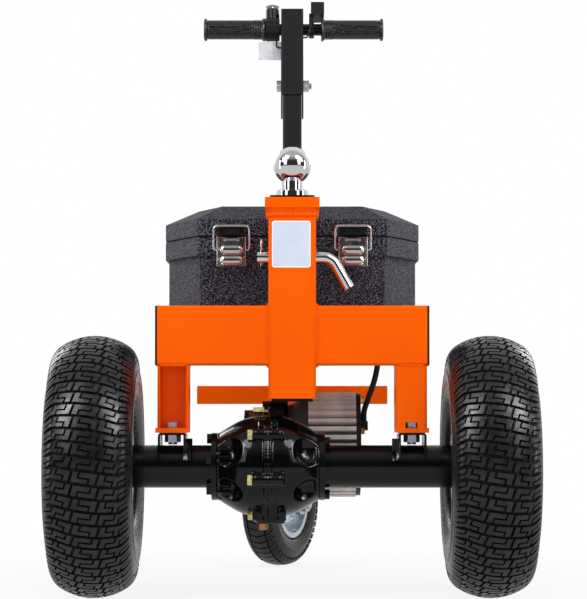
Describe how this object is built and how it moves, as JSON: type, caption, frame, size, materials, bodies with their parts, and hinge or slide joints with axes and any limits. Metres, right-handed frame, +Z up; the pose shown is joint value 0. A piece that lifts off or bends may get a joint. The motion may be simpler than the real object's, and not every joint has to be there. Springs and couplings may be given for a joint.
{
  "type": "electric trailer dolly",
  "caption": "Walk-behind powered trailer mover: tow ball on a square post, driven axle with motor and differential, lidded battery box, rear swivel caster and a folding twist-grip handle.",
  "frame": {"origin": "on the floor, under the middle of the whole dolly", "axes": "+Z up, +Y from the tow ball towards the handle, +X to the right seen from in front of the axle"},
  "size_m": [0.645, 0.8412, 0.9063],
  "materials": {
    "orange_paint": "gloss powder coat",
    "black_paint": "satin black",
    "gloss_black_paint": "gloss black",
    "black_plate": "black",
    "black_plastic": "moulded",
    "rocker_plastic": "moulded",
    "chrome": "polished",
    "steel": "bright zinc",
    "machined_steel": "machined",
    "zinc_fork": "zinc plated",
    "zinc_rim": "grey",
    "nickel": "nickel plated",
    "black_keeper": "satin black",
    "tyre_rubber": "matt",
    "box_plastic": "pebble grain",
    "aluminium": "cast",
    "brass": "plated",
    "cable_rubber": "matt",
    "grip_rubber": "matt"
  },
  "bodies": {
    "root": {"receiver_post": "orange_paint", "post_collar": "orange_paint", "inner_tube": "black_paint", "hitch_ball": "chrome", "beam_arms": "orange_paint", "beam_end_caps": "black_plastic", "leg_left": "orange_paint", "leg_right": "orange_paint", "axle_saddles": "black_paint", "saddle_bolts": "steel", "rear_frame": "orange_paint", "caster_post": "orange_paint", "handle_lower_tube": "black_paint", "box_tub": "box_plastic", "batteries": "black_plastic", "motor_controller": "aluminium", "motor_cable": "cable_rubber", "axle_tubes": "black_paint", "diff_housing_left": "gloss_black_paint", "diff_housing_right": "gloss_black_paint", "flange_bolts": "steel", "housing_screws": "brass", "gear_case": "aluminium", "motor_bell": "aluminium", "motor_body": "aluminium", "motor_end_plate": "black_plate", "ball_bearings": "machined_steel", "latch_bases": "nickel"},
    "hitch_pin": {"hitch_pin": "chrome"},
    "left_wheel": {"half_shaft_left": "machined_steel", "drive_rim_left": "black_paint", "drive_tyre_left": "tyre_rubber", "lug_nuts_left": "steel"},
    "right_wheel": {"half_shaft_right": "machined_steel", "drive_rim_right": "black_paint", "drive_tyre_right": "tyre_rubber", "lug_nuts_right": "steel"},
    "diff_carrier": {"diff_carrier": "machined_steel"},
    "idler_gear": {"idler_gear": "machined_steel"},
    "motor_rotor": {"motor_rotor": "machined_steel"},
    "caster_swivel": {"caster_fork": "zinc_fork", "caster_bolts": "steel"},
    "caster_wheel": {"caster_rim": "zinc_rim", "caster_tyre": "tyre_rubber"},
    "lid": {"box_lid": "box_plastic", "latch_keepers": "black_keeper"},
    "latch_lever_left": {"latch_lever_left": "nickel"},
    "latch_lever_right": {"latch_lever_right": "nickel"},
    "latch_bail_left": {"latch_bail_left": "nickel"},
    "latch_bail_right": {"latch_bail_right": "nickel"},
    "handle": {"handle_upper_tube": "black_paint", "pivot_bolt": "steel", "handle_bar": "black_paint", "grip_right": "grip_rubber", "throttle_housing": "black_plastic", "switch_box": "black_plastic", "handle_wires": "cable_rubber"},
    "throttle_grip": {"throttle_grip": "grip_rubber"},
    "switch_key": {"switch_key": "nickel"},
    "rocker_switch": {"rocker_switch": "rocker_plastic"}
  },
  "joints": [
    {"name": "left_wheel_spin", "type": "hinge", "parent": "root", "child": "left_wheel", "pos_m": [-0.264, -0.24563, 0.175], "axis": [1, 0, 0], "continuous": true},
    {"name": "right_wheel_spin", "type": "hinge", "parent": "root", "child": "right_wheel", "pos_m": [0.264, -0.24563, 0.175], "axis": [1, 0, 0], "continuous": true},
    {"name": "diff_spin", "type": "hinge", "parent": "root", "child": "diff_carrier", "pos_m": [-0.032, -0.24563, 0.175], "axis": [1, 0, 0], "continuous": true},
    {"name": "idler_spin", "type": "hinge", "parent": "root", "child": "idler_gear", "pos_m": [-0.02, -0.1791, 0.19024], "axis": [1, 0, 0], "continuous": true},
    {"name": "motor_spin", "type": "hinge", "parent": "root", "child": "motor_rotor", "pos_m": [0.022, -0.13012, 0.20145], "axis": [1, 0, 0], "continuous": true},
    {"name": "caster_turn", "type": "hinge", "parent": "root", "child": "caster_swivel", "pos_m": [0, 0.35437, 0.205], "axis": [0, 0, 1], "continuous": true},
    {"name": "caster_wheel_spin", "type": "hinge", "parent": "caster_swivel", "child": "caster_wheel", "pos_m": [-0.01817, 0.3154, 0.0975], "axis": [0.9063, -0.4226, 0], "continuous": true},
    {"name": "hitch_pin_turn", "type": "hinge", "parent": "root", "child": "hitch_pin", "pos_m": [0, -0.24563, 0.455], "axis": [1, 0, 0], "range_deg": [-90, 45]},
    {"name": "lid_hinge", "type": "hinge", "parent": "root", "child": "lid", "pos_m": [0, 0.13687, 0.486], "axis": [-1, 0, 0], "range_deg": [0, 100]},
    {"name": "left_lever_lift", "type": "hinge", "parent": "root", "child": "latch_lever_left", "pos_m": [-0.083, -0.19913, 0.482], "axis": [-1, 0, 0], "range_deg": [0, 120]},
    {"name": "right_lever_lift", "type": "hinge", "parent": "root", "child": "latch_lever_right", "pos_m": [0.083, -0.19913, 0.482], "axis": [-1, 0, 0], "range_deg": [0, 120]},
    {"name": "left_bail_swing", "type": "hinge", "parent": "latch_lever_left", "child": "latch_bail_left", "pos_m": [-0.083, -0.19913, 0.468], "axis": [-1, 0, 0], "range_deg": [-120, 0]},
    {"name": "right_bail_swing", "type": "hinge", "parent": "latch_lever_right", "child": "latch_bail_right", "pos_m": [0.083, -0.19913, 0.468], "axis": [-1, 0, 0], "range_deg": [-120, 0]},
    {"name": "handle_fold", "type": "hinge", "parent": "root", "child": "handle", "pos_m": [0, 0.36137, 0.765], "axis": [-1, 0, 0], "range_deg": [0, 100]},
    {"name": "throttle_twist", "type": "hinge", "parent": "handle", "child": "throttle_grip", "pos_m": [-0.0434, 0.39072, 0.86101], "axis": [1, 0, 0], "range_deg": [0, 70], "stiffness_Nm_per_rad": 0.3},
    {"name": "key_turn", "type": "hinge", "parent": "handle", "child": "switch_key", "pos_m": [-0.0319, 0.39628, 0.87918], "axis": [0, 0.2924, 0.9563], "range_deg": [0, 90]},
    {"name": "rocker_tilt", "type": "hinge", "parent": "handle", "child": "rocker_switch", "pos_m": [0.04115, 0.41093, 0.88777], "axis": [1, 0, 0], "range_deg": [-12, 12], "stiffness_Nm_per_rad": 0.1}
  ],
  "couplings": [
    {"joint": "idler_spin", "follows": "diff_spin", "ratio": -5.0667},
    {"joint": "motor_spin", "follows": "diff_spin", "ratio": 17.564},
    {"joint": "left_bail_swing", "follows": "left_lever_lift", "ratio": -1},
    {"joint": "right_bail_swing", "follows": "right_lever_lift", "ratio": -1}
  ]
}
